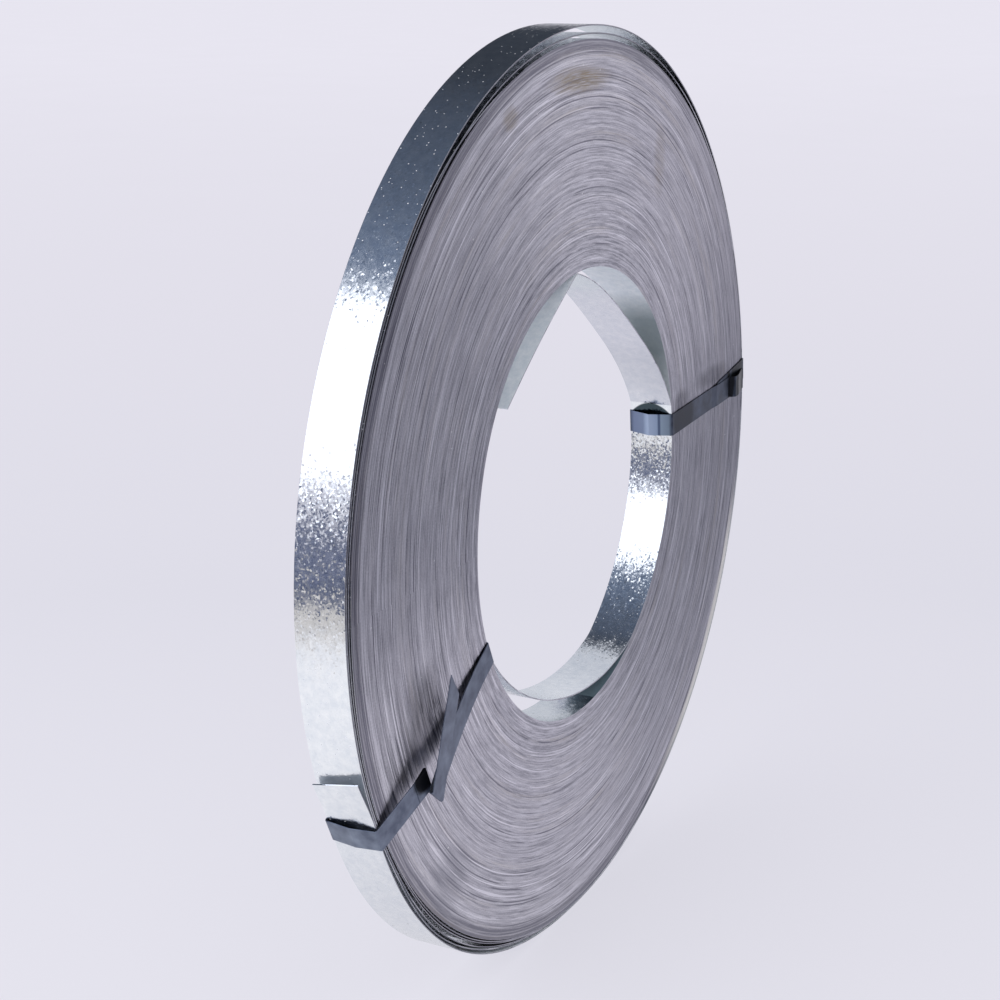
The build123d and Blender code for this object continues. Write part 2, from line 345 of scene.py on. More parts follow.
@dataclass(frozen=True)
class GalvanisedStrip:
    """Hot-dip galvanised strip steel: a bright zinc coat whose small crystals each tilt the mirror a little,
    so that a reflection's border breaks up into spangle. Belts, given by their lowest and highest place and
    their innermost and outermost radius, have crystals that tilt more."""

    name: str = "galvanised_zinc_spangle"
    zinc: str = "ECEEF2"
    dull_zinc: str = "DDE1E8"
    # Colours of the painted shade in the roof's gap and on the wall under the sagging innermost turn
    painted_gap_shade: str = "5B6C70"
    painted_wall_shade: str = "516C77"
    # Near-black of the painted shadow that the upper strap casts on the innermost turn
    painted_shade: str = "1C3038"
    crystal_mm: float = 1.1
    patch_mm: float = 6.0
    speck_every_mm: float = 3.5
    speck_size: float = 0.1
    tilt: float = 0.045
    belt_tilt: float = 0.18
    belts_mm: Rows = (
        (20.0, 74.0, 200.0, 400.0), (-30.0, 20.0, 0.0, 200.0), (-125.0, -72.0, 0.0, 200.0))
    belt_fade_mm: float = 9.0
    waviness: float = 0.1
    metallic: float = 1.0
    roughness: float = 0.14
    # How strongly the shade in the roof's gap and under the innermost turn is painted
    gap_shade_strength: float = 0.15
    wall_mm: Span = (149.9, 152.0)
    rim_from_mm: float = 200.0
    arc_top_mm: float = 31.0
    arc_drop_mm: float = 8.5
    strap_top_mm: float = 12.0

    def colour(self, tree: NodeTree, here: AboutAxis, mottle: Number) -> Colour:
        """Lays the zinc, with painted shade in the roof's gap, on the wall under the sagging innermost turn and by the
        upper strap.

        Args:
            tree: the finish's node tree.
            here: where the point lies.
            mottle: the coat's own unevenness.

        Returns:
            The colour that shows.
        """
        # Painted shade: a dark teal in the roof's gap on the right, thickest high up on the bore's wall and faint on
        # the left, and a darker one on the wall under the sagging innermost turn
        painted_gap_shade = here.across.part_mm(90, 114) * here.across.part_mm(143, 131, 0.35, 0.8)
        painted_gap_shade = (painted_gap_shade + here.across.part_mm(-20, -60) * 0.12) * self.gap_shade_strength
        inner, outer = (limit * MM for limit in self.wall_mm)
        in_bore = here.radius.below(outer)
        shade_under_turn = here.up.part_mm(-80, -95) * here.radius.above(inner) * in_bore * self.gap_shade_strength
        # Painted shadow and reflection of the upper strap: near-black up to an arc where the strap stands off the
        # innermost turn
        share = here.width / (HALF_WIDTH_MM * MM)
        arc = here.up / MM - self.arc_top_mm + share * share * self.arc_drop_mm
        painted_strap_shadow = arc.part(0.5, -0.5) * here.up.above(self.strap_top_mm * MM) * here.across.above(0.0) * in_bore
        return Colour(tree, self.dull_zinc).under(
            (mottle.part(0.35, 0.65), self.zinc), (painted_gap_shade, self.painted_gap_shade), (shade_under_turn, self.painted_wall_shade),
            (painted_strap_shadow * 0.95, self.painted_shade))

    def material(self, axis: Vector) -> Material:
        """Builds the finish.

        Args:
            axis: a point on the coil's axis, which the belts of coarser crystals are measured from.

        Returns:
            The new material.
        """
        made, tree = new_finish(self.name)
        here = AboutAxis(tree, axis)
        crystal = add(tree, "ShaderNodeTexVoronoi", {"Vector": here.place, "Scale": 1 / (self.crystal_mm * MM)})
        patch = add(tree, "ShaderNodeTexNoise", {
            "Vector": here.place, "Scale": 1 / (self.patch_mm * MM), "Detail": 5.0, "Roughness": 0.68})
        mottle = Number(tree, patch)

        # Each crystal's own tilt, slight in most and steep in a few, and a waviness left by the air knives
        crystals = Place(tree, crystal.outputs["Color"]) - MID_GREY
        waves = Place(tree, patch.outputs["Color"]) - MID_GREY
        size = crystals.measured("LENGTH")
        height = here.up + (mottle - 0.5) * (self.belt_fade_mm * 4 * MM)
        steep = (size * 2).do("POWER", 3.0) * self.tilt
        fade = self.belt_fade_mm
        for low, high, inside, outside in self.belts_mm:
            belt = height.part_mm(low - fade, low + fade) * height.part_mm(high + fade, high - fade)
            belt = belt * here.radius.above(inside * MM) * here.radius.below(outside * MM)
            steep = steep + belt * size * self.belt_tilt
        wavy = waves.do("MULTIPLY_ADD", (self.waviness,) * 3, add(tree, "ShaderNodeNewGeometry").outputs["Normal"])
        tipped = (wavy + crystals.scaled(steep)).do("NORMALIZE")

        # Single dull specks, which stay pale where the coat mirrors something dark
        speck = add(tree, "ShaderNodeTexVoronoi", {"Vector": here.place, "Scale": 1 / (self.speck_every_mm * MM)})
        is_speck = Number(tree, speck).below(self.speck_size)
        is_speck = is_speck * here.radius.above(self.rim_from_mm * MM).do("MAXIMUM", here.up.below(0.0))
        gloss = mottle.part(0.3, 0.7, self.roughness, self.roughness + 0.08)
        shader = add(tree, "ShaderNodeBsdfPrincipled", {
            "Base Color": self.colour(tree, here, mottle), "Metallic": (1 - is_speck * 0.6) * self.metallic,
            "Roughness": gloss + is_speck * 0.5, "Normal": tipped})
        add(tree, "ShaderNodeOutputMaterial", {"Surface": shader})
        return made


@dataclass(frozen=True)
class SlitEdge:
    """The strip's slit edges, seen side by side on the coil's ends: bare sheared steel with a zinc smear,
    whose fine rings draw each highlight out into a fan across the coil. Streaks are given by their width and by
    how often they change round a turn, and the spots of each mark, and of a painted reflection, by their middle,
    reach and strength."""

    name: str = "slit_steel_edges"
    steel: str = "F2F0F8"
    shade: str = "7F7E8A"
    # The pale colour of the painted highlight on the outermost turns' edges
    highlight_steel: str = "E6E3DC"
    zinc_crumb: str = "FFFFFF"
    tinge: str = "8F7F62"
    pitch_mm: float = CoilSizes.strip_thickness_mm
    grain_mm: float = 1.1
    # How far in from the pack's outside the rim's painted shade reaches
    border_mm: float = 11.0
    # Where the painted highlight lies in from the pack's outside, and how ragged its inner border is
    highlight_mm: Span = (9.0, 6.0)
    highlight_fray_mm: float = 6.0
    crumb_every_mm: float = 17.0
    crumb_size: float = 0.032
    pack_radius_mm: float = CoilSizes.pack_radius_mm
    streaks: Rows = ((0.55, 20.0), (1.1, 5.0), (9.0, 1.5))
    marks_and_reflection_mm: tuple[tuple[str, Rows], ...] = (
        ("8F7F62", ((-14.0, 268.0, 42.0, 8.5, 0.85), (-108.0, 251.0, 10.0, 8.0, 0.5),
                    (115.0, 208.0, 10.0, 24.0, 0.35))),
        ("43444E", ((228.0, 37.0, 34.0, 9.0, 0.6), (166.0, 30.0, 15.0, 9.0, 0.6))),
        # The last spot stands beside the lower strap's free end as a painted reflection of it
        ("80818D", ((-187.0, -192.0, 27.0, 22.0, 0.6),)), ("43444E", ((-203.0, -83.0, 13.0, 19.0, 1.0),)))

    def material(self, axis: Vector) -> Material:
        """Builds the finish.

        Args:
            axis: a point on the coil's axis, which the rings run round.

        Returns:
            The new material.
        """
        made, tree = new_finish(self.name)
        here = AboutAxis(tree, axis)
        radius = here.radius
        outward = here.flat.do("NORMALIZE")
        around = here.up.do("ARCTAN2", here.across) / math.tau

        # Which turn of the strip this is, counted out from the bore, and its own chance tone and lean
        turn = radius / (self.pitch_mm * MM) - around
        own = Number(tree, add(tree, "ShaderNodeTexWhiteNoise", {"W": turn.do("FLOOR")}, noise_dimensions="1D"))

        # Streaks along the turns, each kind with its own width and length, and the shears' grain
        found = []
        for width_mm, sweep in self.streaks:
            rise = add(tree, "ShaderNodeCombineXYZ", {"Y": radius / (width_mm * MM)})
            at = outward.do("MULTIPLY_ADD", (sweep,) * 3, rise)
            found.append(add(tree, "ShaderNodeTexNoise", {"Vector": at, "Scale": 1.0, "Detail": 2.0}))
        found.append(add(tree, "ShaderNodeTexNoise", {
            "Vector": here.flat, "Scale": 1 / (self.grain_mm * MM), "Detail": 1.0}))
        fine, middling, broad, grain = (Number(tree, noise) for noise in found)

        # The rim's turns are painted darker on the near side, as shade; a few turns are painted brighter, as highlights
        # of raised turns, and a few darker, as shade of sunken ones
        rim = radius.part_mm(self.pack_radius_mm - self.border_mm, self.pack_radius_mm - 1.0)
        rim = rim * here.across.part_mm(220, 80)
        lines = middling.part(0.40, 0.54) * 0.30
        proud_highlight = own.part(0.90, 0.96) * middling.part(0.46, 0.56) * 0.4
        deep_shade = own.part(0.09, 0.04) * middling.part(0.56, 0.46) * 0.35
        tone = own * 0.3 + fine * 0.85 + lines + broad * 0.10 + grain * 0.45 + rim * (own - 0.75) + proud_highlight - deep_shade
        # Painted shade: the edges are a little darker toward the far side
        far_side_shade = here.across.part_mm(110, 270) * here.up.part_mm(-120, -30)
        tone = tone.part(0.5, 1.55) * (1 - far_side_shade * 0.32) * (1 - rim * 0.5)
        coats = [(tone, self.steel)]

        # The marks: oil stains near the top, darker patches just above the upper strap, a patch rubbed dull low down,
        # and beside the lower strap's end a painted reflection of it
        for tone, spots in self.marks_and_reflection_mm:
            for across, up, wide, high, strength in spots:
                edge = here.off_spot((across, up), (wide, high)) + (middling - 0.5) * 0.8
                coats.append((edge.part(1.15, 0.5) * fine.part(0.3, 0.6) * strength, tone))

        # A yellowish tinge along some of the turns, a few bright crumbs of zinc, and a painted highlight: the outermost
        # turns' edges painted pale and less metallic low down on the far side
        coats.append((broad.part(0.5, 0.7) * middling.part(0.45, 0.65) * 0.3, self.tinge))
        crumb = add(tree, "ShaderNodeTexVoronoi", {"Vector": here.flat, "Scale": 1 / (self.crumb_every_mm * MM)})
        coats.append((Number(tree, crumb).below(self.crumb_size) * 0.8, self.zinc_crumb))
        ragged = (middling - 0.5) * (self.highlight_fray_mm * MM) + radius
        painted_highlight = (ragged.part_mm(*(self.pack_radius_mm - depth for depth in self.highlight_mm))
                * here.across.part_mm(120, 190) * here.up.part_mm(-50, -110))
        coats.append((painted_highlight * 0.8, self.highlight_steel))

        lean = (own - 0.5) * 0.10 + (fine - 0.5) * 0.15 + (grain - 0.5) * 0.15
        leaned = (outward.scaled(lean) + add(tree, "ShaderNodeNewGeometry").outputs["Normal"]).do("NORMALIZE")
        # Where the highlight is painted, the edges are less metallic
        shader = add(tree, "ShaderNodeBsdfPrincipled", {
            "Base Color": Colour(tree, self.shade).under(*coats), "Metallic": 1 - painted_highlight * 0.85,
            "Roughness": own.part(0.0, 1.0, 0.34, 0.46), "Anisotropic": 0.85, "Normal": leaned,
            "Tangent": outward})
        add(tree, "ShaderNodeOutputMaterial", {"Surface": shader})
        return made


@dataclass(frozen=True)
class BluedStrapping:
    """Blued strapping steel: heat-blackened, waxed and slightly glossy, rubbed paler in places, with painted shade
    near-black inside its folds. Spots of painted shade are given by their middle, their reach and their strength,
    and painted bands of light and shade where it crosses the strip by how far over the strip's width they lie."""

    name: str = "blued_strapping_steel"
    steel: str = "565E71"
    rubbed: str = "848D9E"
    # The near-black of the painted shade inside the folds
    painted_shade: str = "1B1D24"
    roughness: float = 0.36
    wear_mm: float = 9.0
    fold_mm: Span = (-26.0, -25.5)
    # Painted shade inside the lower strap's hook
    painted_shade_spots_mm: Rows = ((-231.0, -109.0, 10.0, 9.0, 1.0),)
    crossing: Tints = ()

    def material(self, axis: Vector) -> Material:
        """Builds the finish.

        Args:
            axis: a point on the coil's axis, which the spots of painted shade are measured from.

        Returns:
            The new material.
        """
        made, tree = new_finish(self.name)
        here = AboutAxis(tree, axis)
        wear = Number(tree, add(tree, "ShaderNodeTexNoise", {
            "Vector": here.place, "Scale": 1 / (self.wear_mm * MM), "Detail": 6.0}))
        coats = [(wear.part(0.35, 0.75), self.rubbed)]
        if self.crossing:
            # Painted light and shade in bands across the strap where it crosses the strip's width, from the front edge
            # to the back one
            painted_bands = add(tree, "ShaderNodeValToRGB", {"Fac": here.width.part_mm(-HALF_WIDTH_MM, HALF_WIDTH_MM)})
            ramp_between(painted_bands, tuple(((at / HALF_WIDTH_MM + 1) / 2, tint) for at, tint in self.crossing))
            coats.append((here.width.do("ABSOLUTE").part_mm(16.1, 15.6), painted_bands))
        # Spots of painted shade, near-black, inside the folds
        in_fold = here.width.part_mm(*self.fold_mm)
        for across, up, wide, high, strength in self.painted_shade_spots_mm:
            edge = here.off_spot((across, up), (wide, high)) + (wear - 0.5) * 0.4
            coats.append((edge.part(1.1, 0.8) * in_fold * strength, self.painted_shade))
        shader = add(tree, "ShaderNodeBsdfPrincipled", {
            "Base Color": Colour(tree, self.steel).under(*coats), "Metallic": 0.75,
            "Roughness": wear.part(0.3, 0.7, self.roughness - 0.06, self.roughness + 0.08)})
        add(tree, "ShaderNodeOutputMaterial", {"Surface": shader})
        return made


TIGHT_STRAPPING = BluedStrapping(
    "darker_strapping_steel", "3A4150", "646C7E",
    # Painted shade near the bore and in two dark stripes at the hook by the rim, and painted bands of light and shade
    # across the bore
    painted_shade_spots_mm=((168.0, 18.0, 19.0, 30.0, 0.7), (259.6, 25.0, 2.6, 60.0, 1.0), (276.5, 27.0, 12.6, 60.0, 0.9)),
    crossing=((-16.0, "434B5B"), (-14.0, "7C8B9D"), (-8.6, "8D9DB0"), (-7.8, "586682"), (-6.8, "586682"),
              (-6.0, "93A3BE"), (-1.0, "A3B2CC"), (2.5, "94A3BE"), (5.0, "77849F"), (13.0, "707C99"),
              (16.0, "4E586F")))


def new_object(name: str, data: Any) -> Object:
    """Makes an object of a mesh, a curve, a light or a camera and links it into the scene."""
    made = bpy.data.objects.new(name, data)
    bpy.context.scene.collection.objects.link(made)
    return made


def geometry_tree(name: str, inputs: dict[str, tuple[str, ...]]) -> NodeTree:
    """Starts a Geometry Nodes tree with its named inputs and an input for each side's finish.

    Args:
        name: the tree's name.
        inputs: the names of its own inputs, by the kind of their sockets.

    Returns:
        The tree, with a geometry input and output.
    """
    tree = bpy.data.node_groups.new(name, "GeometryNodeTree")
    sides = tuple(side.value for side in Side)
    for kind, labels in {"Geometry": ("Geometry",), **inputs, "Material": sides}.items():
        for label in labels:
            tree.interface.new_socket(label, in_out="INPUT", socket_type=f"NodeSocket{kind}")
    tree.interface.new_socket("Geometry", in_out="OUTPUT", socket_type="NodeSocketGeometry")
    return tree


def finish_tree(
        tree: NodeTree, solid: Node, given: Any, is_face: Number, is_back: Number, crisp_degrees: float) -> None:
    """Ends a tree: crisp corners kept, every instance made real, and each side's finish set.

    Args:
        tree: the tree.
        solid: the geometry so far.
        given: the tree's own inputs, with the three finishes.
        is_face: true where the strip's wide sides show.
        is_back: true where that is the side that has been rubbed dull.
        crisp_degrees: an edge that folds by more than this stays crisp.
    """
    angle = Number(tree, add(tree, "GeometryNodeInputMeshEdgeAngle"))
    smooth = add(tree, "GeometryNodeSetShadeSmooth", {"Geometry": solid})
    shaded = add(tree, "GeometryNodeSetShadeSmooth", {
        "Geometry": smooth, "Shade Smooth": angle.below(math.radians(crisp_degrees))}, domain="EDGE")
    dressed = add(tree, "GeometryNodeRealizeInstances", {0: shaded})
    for side, chosen in ((Side.EDGE, True), (Side.FACE, is_face), (Side.BACK, is_back)):
        dressed = add(tree, "GeometryNodeSetMaterial", {
            "Geometry": dressed, "Selection": chosen, "Material": given[side.value]})
    add(tree, "NodeGroupOutput", {0: dressed})


def plain_mesh(source: Object, tree: NodeTree, values: dict[str, Any], name: str) -> Object:
    """Runs a Geometry Nodes tree on an object and keeps only the mesh that it makes.

    Args:
        source: the object that the tree starts from, which is removed.
        tree: the tree.
        values: a value for each named input.
        name: the new piece's name.

    Returns:
        The new piece, at the origin, with no modifier.
    """
    modifier = source.modifiers.new(name, "NODES")
    modifier.node_group = tree
    for item in tree.interface.items_tree:
        if item.in_out == "INPUT" and item.name in values:
            modifier[item.identifier] = values[item.name]
    source.update_tag()
    bpy.context.view_layer.update()
    evaluated = source.evaluated_get(bpy.context.evaluated_depsgraph_get())
    mesh = bpy.data.meshes.new_from_object(evaluated)
    mesh.name = name
    bpy.data.objects.remove(source)
    return new_object(name, mesh)


@dataclass
class WoundTurns:
    """The tightly wound turns: one ring whose two ends step a little from turn to turn. Each drift of the
    turns' edges is given by its pace from turn to turn, its reach round a turn and its weight."""

    sizes: CoilSizes
    axis: Vector
    steps_round: int = 144
    wander_mm: float = 0.55
    drifts: Rows = ((0.16, 0.9, 1.3), (1.7, 1.6, 1.1))
    back_end_apart: float = 40.0
    worn_turns: float = 7.0
    groove: float = 0.06
    seed: float = 3.0
    gap_below_mm: float = -84.0
    gap_beyond_mm: float = 20.0
    crisp_degrees: float = 28.0
    wall_mm: float = field(init=False)
    turns: int = field(init=False)

    def __post_init__(self) -> None:
        """Works out how many turns lie between the bore and the rim."""
        self.wall_mm = self.sizes.pack_radius_mm - self.sizes.bore_radius_mm
        self.turns = round(self.wall_mm / self.sizes.strip_thickness_mm)

    def tree(self) -> NodeTree:
        """Builds the tree that winds the strip: a grid whose rows are the turns' corners, rolled up.

        Returns:
            The tree.
        """
        tree = geometry_tree("wound_turns", {
            "Vector": ("Axis",), "Int": ("Turns", "Steps round"),
            "Float": ("Bore radius", "Pitch", "Half width", "Groove", "Wander", "Seed")})
        given = add(tree, "NodeGroupInput").outputs
        turns, groove, steps = (Number(tree, given[name]) for name in ("Turns", "Groove", "Steps round"))
        corners = turns * 2
        rows = corners * 2
        grid = add(tree, "GeometryNodeMeshGrid", {
            "Size X": 1.0, "Size Y": 1.0, "Vertices X": rows + 1, "Vertices Y": steps + 1})
        here = AboutAxis(tree, given["Axis"], "GeometryNodeInputPosition", "Position")
        at_row, at_step, _ = here.place.parts()
        around = at_step + 0.5
        row = ((at_row + 0.5) * rows).do("ROUND").do("MODULO", rows)
        front = row.below(corners)
        corner = row * front + (rows - row - 1) * (1 - front)
        turn = (corner * 0.5).do("FLOOR")
        side = corner - turn * 2

        # How far out, in turns: each corner drifts out by one turn on its way round
        wound = turn + around
        reach = wound + side + groove - side * groove * 2 - 0.5
        held = reach.do("MAXIMUM", 0.0).do("MINIMUM", turns)
        radius = held * given["Pitch"] + given["Bore radius"]
        cosine, sine = ((around * math.tau).do(name) for name in ("COSINE", "SINE"))

        # How far each turn's edge lies below the full width, slowly changing along the strip
        depth = wound + (1 - front) * self.back_end_apart + given["Seed"]
        low = held.part(self.turns - self.worn_turns, self.turns, 0.0, 0.9)
        for per_turn, sweep, weight in self.drifts:
            vector = add(tree, "ShaderNodeCombineXYZ", {
                "X": cosine * sweep, "Y": sine * sweep, "Z": depth * per_turn})
            noise = add(tree, "ShaderNodeTexNoise", {"Vector": vector, "Scale": 1.0, "Detail": 1.0})
            low = low + Number(tree, noise) * weight
        height = low.part(0.75, 1.85) * given["Wander"] * -1 + given["Half width"]
        spot = Place(tree, add(tree, "ShaderNodeCombineXYZ", {
            "X": radius * cosine, "Y": height * (1 - front * 2), "Z": radius * sine}))
        wound_up = add(tree, "GeometryNodeSetPosition", {"Geometry": grid, "Position": spot + given["Axis"]})
        closed = add(tree, "GeometryNodeMergeByDistance", {"Geometry": wound_up, "Distance": 1e-5})

        # The wide side shows only on the bore's wall and on the rim
        in_turns = (here.radius - given["Bore radius"]) / given["Pitch"]
        on_wall = in_turns.below(1.1)
        facing = Place(tree, add(tree, "GeometryNodeInputNormal"))
        is_face = on_wall.do("MAXIMUM", in_turns.above(turns - 1.1)) * facing.parts()[1].do("ABSOLUTE").below(0.5)
        # The rubbed side shows over the bore, and low down where the innermost turn stands off the wall
        low_gap = here.up.below(self.gap_below_mm * MM) * here.across.above(self.gap_beyond_mm * MM)
        is_back = is_face * here.up.above(0.0).do("MAXIMUM", low_gap) * on_wall
        finish_tree(tree, closed, given, is_face, is_back, self.crisp_degrees)
        return tree

    def build(self, finishes: dict[str, Material]) -> Object:
        """Winds the ring, dressed in the strip's finishes, which come by their inputs' names."""
        values = {
            "Axis": self.axis, "Bore radius": self.sizes.bore_radius_mm * MM, "Pitch": self.wall_mm / self.turns * MM,
            "Half width": self.sizes.strip_width_mm / 2 * MM, "Turns": self.turns, "Steps round": self.steps_round,
            "Groove": self.groove, "Wander": self.wander_mm * MM, "Seed": self.seed, **finishes}
        return plain_mesh(new_object("winding", bpy.data.meshes.new("winding")), self.tree(), values, "wound_turns")


@dataclass
class SprungTurns:
    """Turns of the same strip that have sprung away from the wound ones, each a run of strip on its own path.
    A slack turn is given by its share of the outermost turn's gap and the angle that it starts from, and a sag
    by its two ends and its depth."""

    sizes: CoilSizes
    axis: Vector
    slimmer_mm: float = 0.12
    edge_round_mm: float = 0.2
    wander_mm: float = 0.3
    step_degrees: float = 1.5
    outer_end_slant_mm: float = 8.4
    outer_end_fade_mm: float = 34.0
    slack_turns: Rows = ((0.25, 535.0), (0.42, 386.0), (0.75, 468.0))
    slack_rise: float = 32.0
    floor_sag: tuple[float, ...] = (209.5, 302.0, 14.0)
    roof_sag: tuple[float, ...] = (372.0, 456.0, 25.0)
    inner_turn_seat_mm: float = 0.15
    inner_end_angle: float = 144.0
    inner_end_gap_mm: float = 12.0
    inner_end_bulge_mm: float = 2.0
    inner_end_steps: int = 24
    crisp_degrees: float = 15.0

    def point(self, radius_mm: float, angle: float) -> Vector:
        """A point in the frame, from its distance out and its angle."""
        turn = math.radians(angle)
        return self.axis + Vector((math.cos(turn), 0.0, math.sin(turn))) * radius_mm * MM

    def arc(self, radius_at: Callable[[float], float], start: float, end: float) -> list[Vector]:
        """The path of a run of strip.

        Args:
            radius_at: its distance out at each angle, in millimetres.
            start: the angle that it starts at.
            end: the angle that it ends at.

        Returns:
            Points along it.
        """
        count = round((end - start) / self.step_degrees)
        angles = [start + (end - start) * step / count for step in range(count + 1)]
        return [self.point(radius_at(angle), angle) for angle in angles]

    def outermost_path(self) -> list[Vector]:
        """The outermost turn, from its free end."""
        return self.arc(self.sizes.outer_turn_radius, self.sizes.outer_end_angle, self.sizes.outer_turn_end)

    def slack_path(self, share: float, start: float) -> list[Vector]:
        """A turn under it that has opened up with it.

        Args:
            share: how far it stands off, as a share of how far the outermost turn does.
            start: the angle that it leaves the wound turns at.

        Returns:
            Points along it.
        """
        sunk = self.sizes.pack_radius_mm - self.sizes.strip_thickness_mm / 2 - self.sizes.outer_turn_seat_mm

        def radius_at(angle: float) -> float:
            """Distance out, a share of the way to the outermost turn."""
            gap = self.sizes.outer_turn_radius(angle) - sunk
            return sunk + share * gap * ease(angle, start, start + self.slack_rise)

        return self.arc(radius_at, start, self.sizes.outer_turn_end)

    def innermost_path(self) -> list[Vector]:
        """The last turn in the bore: its sag at the floor, its held run, its sag at the roof and its tail.

        Returns:
            Points along it.
        """
        held = self.sizes.bore_radius_mm - self.sizes.strip_thickness_mm / 2 + self.inner_turn_seat_mm

        def radius_at(angle: float) -> float:
            """Distance out, less the sag that the angle lies in."""
            sags = (depth * math.sin(math.pi * (angle - start) / (end - start))
                    for start, end, depth in (self.floor_sag, self.roof_sag) if start < angle < end)
            return held - sum(sags)

        path = self.arc(radius_at, self.floor_sag[0], self.roof_sag[1])
        crease = path[-1]
        run = self.point(self.sizes.bore_radius_mm - self.inner_end_gap_mm, self.inner_end_angle) - crease
        outward = Vector((0.0, 1.0, 0.0)).cross(run).normalized()
        if outward.dot(crease - self.axis) < 0:
            outward.negate()
        for step in range(1, self.inner_end_steps + 1):
            share = step / self.inner_end_steps
            bulge = 4 * share * (1 - share) * self.inner_end_bulge_mm * MM
            path.append(crease + run * share + outward * bulge)
        return path

    def tree(self) -> NodeTree:
        """Builds the tree that lays the strip's section along a path.

        Returns:
            The tree.
        """
        tree = geometry_tree("sprung_strip", {"Vector": ("Axis",), "Float": (
            "Width", "Thickness", "Edge round", "End slant", "Slant fade", "Wander", "Seed", "Bright side",
            "Rubbed half")})
        given = add(tree, "NodeGroupInput").outputs
        marked = add(tree, "GeometryNodeSetCurveNormal", {
            "Curve": given["Geometry"], "Normal": (0.0, 1.0, 0.0)}, mode="FREE")
        length = add(tree, "GeometryNodeSplineParameter").outputs["Length"]
        tangent = add(tree, "GeometryNodeInputTangent")
        for name, value, kind in (("along", length, "FLOAT"), ("run", tangent, "FLOAT_VECTOR")):
            marked = add(tree, "GeometryNodeStoreNamedAttribute", {
                "Geometry": marked, "Name": name, 3: value}, data_type=kind)
        section = add(tree, "GeometryNodeCurvePrimitiveQuadrilateral", {
            "Width": given["Width"], "Height": given["Thickness"]})
        rounded = add(tree, "GeometryNodeFilletCurve", {
            "Curve": section, "Count": 2, "Radius": given["Edge round"]}, mode="POLY")
        swept = add(tree, "GeometryNodeCurveToMesh", {"Curve": marked, "Profile Curve": rounded, "Fill Caps": True})

        # The free end is sheared at a slant, and the edges wander a little from side to side
        here = AboutAxis(tree, given["Axis"], "GeometryNodeInputPosition", "Position")
        along = Number(tree, add(tree, "GeometryNodeInputNamedAttribute", {"Name": "along"}))
        run = Place(tree, add(tree, "GeometryNodeInputNamedAttribute", {"Name": "run"}, data_type="FLOAT_VECTOR"))
        fade = (1 - along / given["Slant fade"]).do("MAXIMUM", 0.0)
        slide = (here.width / given["Width"] + 0.5) * fade * given["End slant"]
        drift = Number(tree, add(tree, "ShaderNodeTexNoise", {
            "Vector": here.place, "W": given["Seed"], "Scale": 7.0, "Detail": 1.0}, noise_dimensions="4D"))
        sideways = add(tree, "ShaderNodeCombineXYZ", {"Y": (drift - 0.5) * given["Wander"]})
        moved = add(tree, "GeometryNodeSetPosition", {"Geometry": swept, "Offset": run.scaled(slide) + sideways})

        # The wide sides stay flat across, up to their rounded edges, so that they mirror as flat strip does
        facing = Place(tree, add(tree, "GeometryNodeInputNormal"))
        is_face = facing.parts()[1].do("ABSOLUTE").below(0.5)
        bright = facing.measured("DOT_PRODUCT", here.local) * given["Bright side"]
        is_back = is_face * (here.up * given["Rubbed half"]).above(0.0) * bright.below(0.0)
        finish_tree(tree, moved, given, is_face, is_back, self.crisp_degrees)
        return tree

    def lay(self, tree: NodeTree, path: list[Vector], name: str, values: dict[str, Any]) -> Object:
        """Lays the strip along one path.

        Args:
            tree: the tree that does it.
            path: points along the middle of the strip.
            name: the piece's name.
            values: this run's own inputs.

        Returns:
            The finished piece.
        """
        curve = bpy.data.curves.new("path", "CURVE")
        curve.dimensions = "3D"
        spline = curve.splines.new("POLY")
        spline.points.add(len(path) - 1)
        for point, place in zip(spline.points, path):
            point.co = (*place, 1.0)
        common = {
            "Axis": self.axis, "Width": self.sizes.strip_width_mm * MM,
            "Thickness": (self.sizes.strip_thickness_mm - self.slimmer_mm) * MM, "Edge round": self.edge_round_mm * MM,
            "Slant fade": self.outer_end_fade_mm * MM, "Wander": self.wander_mm * MM, "Bright side": 1.0,
            "Rubbed half": 0.0}
        return plain_mesh(new_object("path", curve), tree, {**common, **values}, name)

    def build(self, finishes: dict[str, Material]) -> list[Object]:
        """Lays every sprung turn.

        Args:
            finishes: the strip's finishes, by their inputs' names.

        Returns:
            The finished pieces.
        """
        tree = self.tree()
        runs = [(self.outermost_path(), "outermost_turn", {
            "End slant": self.outer_end_slant_mm * MM, "Seed": 1.0, "Rubbed half": -1.0})]
        runs += [(self.slack_path(*turn), f"slack_turn_{number}", {"Seed": 2.0 + number})
                 for number, turn in enumerate(self.slack_turns, 1)]
        runs.append((self.innermost_path(), "innermost_turn", {"Bright side": -1.0, "Rubbed half": 1.0, "Seed": 9.0}))
        return [self.lay(tree, path, name, {**values, **finishes}) for path, name, values in runs]


@dataclass
class SteelCoil:
    """The coil: its wound turns and its sprung ones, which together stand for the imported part's strip."""

    sizes: CoilSizes
    axis: Vector
    edges: SlitEdge = SlitEdge()
    bright: GalvanisedStrip = GalvanisedStrip()
    # The rubbed side carries the painted shade in the roof's gap most strongly
    rubbed: GalvanisedStrip = GalvanisedStrip("rubbed_zinc", "ECEFF1", "D6DDE2", roughness=0.35, metallic=0.15, gap_shade_strength=0.9)

    def build(self) -> list[Object]:
        """Builds, dresses and mounts every piece of the strip.

        Returns:
            The pieces, the wound turns first.
        """
        finishes = {side.value: finish.material(self.axis) for side, finish in
                    zip(Side, (self.edges, self.bright, self.rubbed))}
        pieces = [WoundTurns(self.sizes, self.axis).build(finishes)]
        pieces += SprungTurns(self.sizes, self.axis).build(finishes)
        for piece in pieces:
            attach(piece, "root")
        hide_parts("strip_coil")
        return pieces


